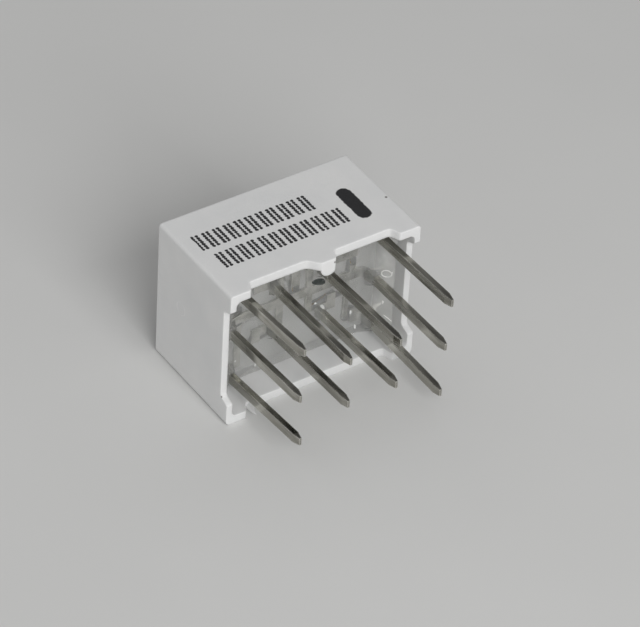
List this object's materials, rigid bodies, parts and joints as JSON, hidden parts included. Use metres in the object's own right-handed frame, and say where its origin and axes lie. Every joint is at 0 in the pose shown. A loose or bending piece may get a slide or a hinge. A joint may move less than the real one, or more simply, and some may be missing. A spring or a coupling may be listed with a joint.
{
  "type": "seven-segment led display",
  "caption": "Through-hole numeric light display: white moulded case with a slanted digit and point on its face, resin-filled back, board feet and straight leads.",
  "frame": {"origin": "centre of the footprint of the part as it lies on a long side wall, with z = 0 at that wall", "axes": "+Y out of the back along the leads, -Y out of the display face, +X along the case and up the digit, +Z from the wall it rests on to the opposite long wall"},
  "size_m": [0.01, 0.0098, 0.0074],
  "materials": {
    "white_moulding": "white filled moulding, faint grain",
    "clear_resin": "clear greyish cast resin, glossy",
    "milky_resin": "milky diffusing resin",
    "tinned_lead": "dull tin plating",
    "chip": "sawn semiconductor",
    "gold_wire": "drawn gold"
  },
  "bodies": {
    "root": {"bond_wire_a": "gold_wire", "bond_wire_b": "gold_wire", "bond_wire_c": "gold_wire", "bond_wire_d": "gold_wire", "bond_wire_dp": "gold_wire", "bond_wire_e": "gold_wire", "bond_wire_f": "gold_wire", "bond_wire_g": "gold_wire", "common_lead": "tinned_lead", "decimal_point": "milky_resin", "die_a": "chip", "die_b": "chip", "die_c": "chip", "die_d": "chip", "die_dp": "chip", "die_e": "chip", "die_f": "chip", "die_g": "chip", "encapsulant": "clear_resin", "housing": "white_moulding", "lead_a": "tinned_lead", "lead_b": "tinned_lead", "lead_c": "tinned_lead", "lead_d": "tinned_lead", "lead_dp": "tinned_lead", "lead_e": "tinned_lead", "lead_f": "tinned_lead", "lead_g": "tinned_lead", "segment_a": "milky_resin", "segment_b": "milky_resin", "segment_c": "milky_resin", "segment_d": "milky_resin", "segment_e": "milky_resin", "segment_f": "milky_resin", "segment_g": "milky_resin"}
  },
  "joints": []
}
